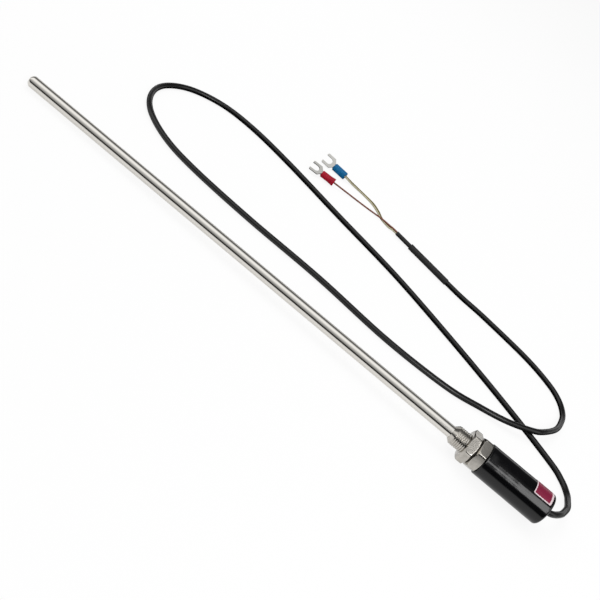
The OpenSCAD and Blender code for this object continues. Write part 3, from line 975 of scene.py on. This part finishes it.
class PROBE_OT_head(bpy.types.Operator):
    """Adds the moulded head and the label on it"""

    bl_idname = "probe.add_head"
    bl_label = "Add Head"

    def execute(self, context):
        self.shell()
        self.label()
        return {"FINISHED"}

    def shell(self):
        """Hollow moulding on the fitting's tail, open for the cable at its rear."""
        size = sizes()
        outer = size.head_diameter / 2
        start = size.hex_width
        end = head_rear()
        inside = end - size.head_back
        soft = size.head_round
        rim = 0.5 * MM
        tail = size.tail_diameter / 2 + BONDED_GAP
        cavity = outer - size.head_wall
        hole = size.cable_diameter / 2 + CABLE_GAP
        countersink = 0.3 * MM
        profile = (
            [(start, tail)] + arc(start + rim, outer - rim, rim, 180, 90, 5)
            + arc(end - soft, outer - soft, soft, 90, 0, 10)
            + [(end, hole + countersink), (end - countersink, hole), (inside, hole)]
            + [(inside, cavity), (tail_end(), cavity), (tail_end(), tail)]
        )

        def reshape(x, r, angle):
            if r < outer - 0.02 * MM:
                return r
            # Three slow waves along and round the wall
            along = x / MM
            sink = (
                math.sin(0.42 * along + 1.7 * math.sin(2 * angle))
                + math.sin(0.23 * along + 3 * angle + 1)
                + math.sin(0.71 * along - 2 * angle)
            )
            return r - size.head_wave * (0.5 + sink / 6)

        head = revolve("moulded_head", fine(profile, 0.6 * MM), lie(), segments=192, reshape=reshape)
        show(head, "probe", "head_shell", "head_plastic", moulded_abs())

    def label(self):
        """Thin film wrapped on the head: a bare coloured field inside a pale border."""
        size = sizes()
        outer = size.head_diameter / 2 + size.label_thickness
        # Its underside lies just below the head's full radius
        inner = size.head_diameter / 2 - 0.02 * MM
        length = size.label_length
        front = head_rear() - size.label_inset - length
        # Its middle lies 8 degrees off the head's top
        middle = math.radians(90 - 8)
        half = size.label_height / size.head_diameter
        edge = size.label_border / outer
        # Points along and round the head, some of them at the border's inner edge
        begin = size.label_border
        stop = length - size.label_rear_border
        steps = 24
        alongs = sorted({length * k / steps for k in range(steps + 1)} | {begin, stop})
        turns = sorted({half * k / steps for k in range(-steps, steps + 1)} | {edge - half, half - edge})
        rows = len(alongs)
        columns = len(turns)
        place = lie()
        points = []
        for radius in (outer, inner):
            for along in alongs:
                for turn in turns:
                    cut = self.pulled_in((half - abs(turn)) * outer)
                    x = front + min(max(along, cut), length - cut)
                    a = middle + turn
                    points.append(place @ Vector((x, radius * math.cos(a), radius * math.sin(a))))

        def quad(a, b, c, d, flip):
            corners = [(layer * rows + i) * columns + j for layer, i, j in (a, b, c, d)]
            return corners[::-1] if flip else corners

        faces = []
        field = []
        for i in range(rows - 1):
            for j in range(columns - 1):
                for layer in (0, 1):
                    square = ((layer, i, j), (layer, i, j + 1), (layer, i + 1, j + 1), (layer, i + 1, j))
                    faces.append(quad(*square, flip=layer == 1))
                    inside = begin < (alongs[i] + alongs[i + 1]) / 2 < stop
                    beside = abs(turns[j] + turns[j + 1]) / 2 < half - edge
                    field.append(layer == 0 and inside and beside)
        for i in range(rows - 1):
            for j, flip in ((0, False), (columns - 1, True)):
                faces.append(quad((0, i, j), (0, i + 1, j), (1, i + 1, j), (1, i, j), flip))
        for j in range(columns - 1):
            for i, flip in ((0, True), (rows - 1, False)):
                faces.append(quad((0, i, j), (0, i, j + 1), (1, i, j + 1), (1, i, j), flip))
        mesh = bpy.data.meshes.new("label_film")
        mesh.from_pydata(points, [], faces)
        mesh.update()
        label = bpy.data.objects.new("label_film", mesh)
        border_film = label_film("printed_border", colours().film_border)
        field_film = label_film("printed_field", colours().film_field)
        show(label, "probe", "label", "label_film", border_film, field_film)
        for polygon, is_field in zip(mesh.polygons, field):
            polygon.material_index = 1 if is_field else 0
        self.merge(mesh)
        crisp(mesh)

    def pulled_in(self, beside):
        """How far a round corner pulls the label's end in, at that distance from the edge beside it."""
        radius = sizes().label_corner
        short = radius - min(beside, radius)
        return radius - math.sqrt(max(0.0, radius**2 - short**2))

    def merge(self, mesh):
        """Makes one point of those that fell together where the corners are cut."""
        film = bmesh.new()
        film.from_mesh(mesh)
        bmesh.ops.remove_doubles(film, verts=film.verts, dist=0.001 * MM)
        film.to_mesh(mesh)
        film.free()


class PROBE_OT_stage(bpy.types.Operator):
    """Adds the pale surface, the soft lamps and the studio's surroundings"""

    bl_idname = "probe.add_stage"
    bl_label = "Add Stage"

    def execute(self, context):
        self.floor()
        for lamp in LAMPS:
            self.lamp(*lamp)
        # Metal and gloss mirror the bands in its place
        bpy.data.objects["soft_top"].visible_glossy = False
        self.surroundings()
        context.scene.view_settings.view_transform = "Standard"
        return {"FINISHED"}

    def floor(self):
        """Surface that the camera sees white, with a soft shadow, and that lights matt surfaces evenly."""
        mesh = bpy.data.meshes.new("floor")
        corners = [(x * FLOOR_REACH, y * FLOOR_REACH, 0) for x, y in ((-1, -1), (1, -1), (1, 1), (-1, 1))]
        mesh.from_pydata(corners, [], [(0, 1, 2, 3)])
        floor = bpy.data.objects.new("floor", mesh)
        bpy.context.scene.collection.objects.link(floor)
        material = empty_material("white_surface")
        tree = material.node_tree
        seen = add(tree, "ShaderNodeLightPath").outputs
        sharp = worked_out(tree, "MAXIMUM", seen["Is Camera Ray"], seen["Is Glossy Ray"])
        sharp = worked_out(tree, "MAXIMUM", sharp, seen["Is Transmission Ray"])
        lit = matt(tree, 0.8)
        pale = glowing(tree, reflected=0.14, glow=0.87)
        # Painted reflection: metal and gloss see a pale pool that glows under the probe and fades out
        # a few centimetres from it, and painted shade, a near black floor, beyond it
        place = add(tree, "ShaderNodeTexCoord").outputs["Object"]
        turned = add(tree, "ShaderNodeMapping", {"Vector": place, "Rotation": (0, 0, PAINTED_GLOW_TURN)})
        across = add(tree, "ShaderNodeSeparateXYZ", {0: turned.outputs[0]}).outputs["Y"]
        across = worked_out(tree, "ABSOLUTE", across, 0.0)
        painted_glow = ramped(tree, across, *PAINTED_GLOW_EDGE, 1.0, 0.0)
        mirrored = blend(tree, painted_glow, matt(tree, 0.03), glowing(tree, reflected=0.5, glow=0.52))
        clear = blend(tree, seen["Is Camera Ray"], mirrored, pale)
        both = blend(tree, sharp, lit, clear)
        add(tree, "ShaderNodeOutputMaterial", {"Surface": both})
        mesh.materials.append(material)

    def lamp(self, name, place, aim, width, height, power):
        """Soft rectangular lamp that faces a point."""
        data = bpy.data.lights.new(name, "AREA")
        data.shape = "RECTANGLE"
        data.size = width
        data.size_y = height
        data.energy = power
        lamp = bpy.data.objects.new(name, data)
        lamp.location = place
        lamp.rotation_euler = (Vector(aim) - Vector(place)).to_track_quat("-Z", "Y").to_euler()
        bpy.context.scene.collection.objects.link(lamp)

    def surroundings(self):
        """White to the camera, level light on matt surfaces, and a studio's soft bands in metal and gloss."""
        world = bpy.data.worlds.new("studio")
        bpy.context.scene.world = world
        world.use_nodes = True
        tree = world.node_tree
        tree.nodes.clear()
        white = (1, 1, 1, 1)
        seen = add(tree, "ShaderNodeLightPath").outputs
        way = add(tree, "ShaderNodeTexCoord").outputs["Generated"]
        way = add(tree, "ShaderNodeSeparateXYZ", {0: way}).outputs
        front = worked_out(tree, "MULTIPLY", way["Y"], -1.0)
        angle = worked_out(tree, "ARCTAN2", way["Z"], front)
        fade_in = ramped(tree, way["X"], *RIGHT_BEGINS, 0.0, 1.0)
        fade_out = ramped(tree, way["X"], *RIGHT_ENDS, 1.0, 0.0)
        share = worked_out(tree, "MULTIPLY", fade_in, fade_out)
        tone = add(tree, "ShaderNodeMix", {"Factor": share}, data_type="RGBA")
        tree.links.new(bands(tree, angle, MAIN_BANDS), tone.inputs[6])
        tree.links.new(bands(tree, angle, RIGHT_BANDS), tone.inputs[7])
        mirrored = sky(tree, tone.outputs[2], 1.2)
        other = blend(tree, seen["Is Glossy Ray"], sky(tree, white, 0.5), mirrored)
        final = blend(tree, seen["Is Camera Ray"], other, sky(tree, white, 1.0))
        add(tree, "ShaderNodeOutputWorld", {"Surface": final})


class PROBE_PT_panel(bpy.types.Panel):
    """Lists the probe's sizes, colours and pieces"""

    bl_idname = "PROBE_PT_panel"
    bl_label = "Temperature Probe"
    bl_space_type = "VIEW_3D"
    bl_region_type = "UI"
    bl_category = "Probe"

    def draw(self, context):
        layout = self.layout
        for step in STEPS:
            layout.operator(step.bl_idname)
        for group in (context.scene.probe_sizes, context.scene.probe_colours):
            box = layout.box()
            for name in group.__annotations__:
                box.prop(group, name)


STEPS = (
    PROBE_OT_camera,
    PROBE_OT_cable,
    PROBE_OT_wires,
    PROBE_OT_terminals,
    PROBE_OT_sheath,
    PROBE_OT_fitting,
    PROBE_OT_nut,
    PROBE_OT_head,
    PROBE_OT_stage,
)
CLASSES = (ProbeSizes, ProbeColours) + STEPS + (PROBE_PT_panel,)


def register():
    for cls in CLASSES:
        bpy.utils.register_class(cls)
    bpy.types.Scene.probe_sizes = bpy.props.PointerProperty(type=ProbeSizes)
    bpy.types.Scene.probe_colours = bpy.props.PointerProperty(type=ProbeColours)


def unregister():
    del bpy.types.Scene.probe_colours
    del bpy.types.Scene.probe_sizes
    for cls in reversed(CLASSES):
        bpy.utils.unregister_class(cls)


def main():
    register()
    bpy.ops.probe.add_camera()
    bpy.ops.probe.add_cable()
    bpy.ops.probe.add_wires()
    bpy.ops.probe.add_terminals()
    bpy.ops.probe.finish_sheath()
    bpy.ops.probe.add_fitting()
    bpy.ops.probe.add_nut()
    bpy.ops.probe.add_head()
    bpy.ops.probe.add_stage()


if __name__ == "__main__":
    main()
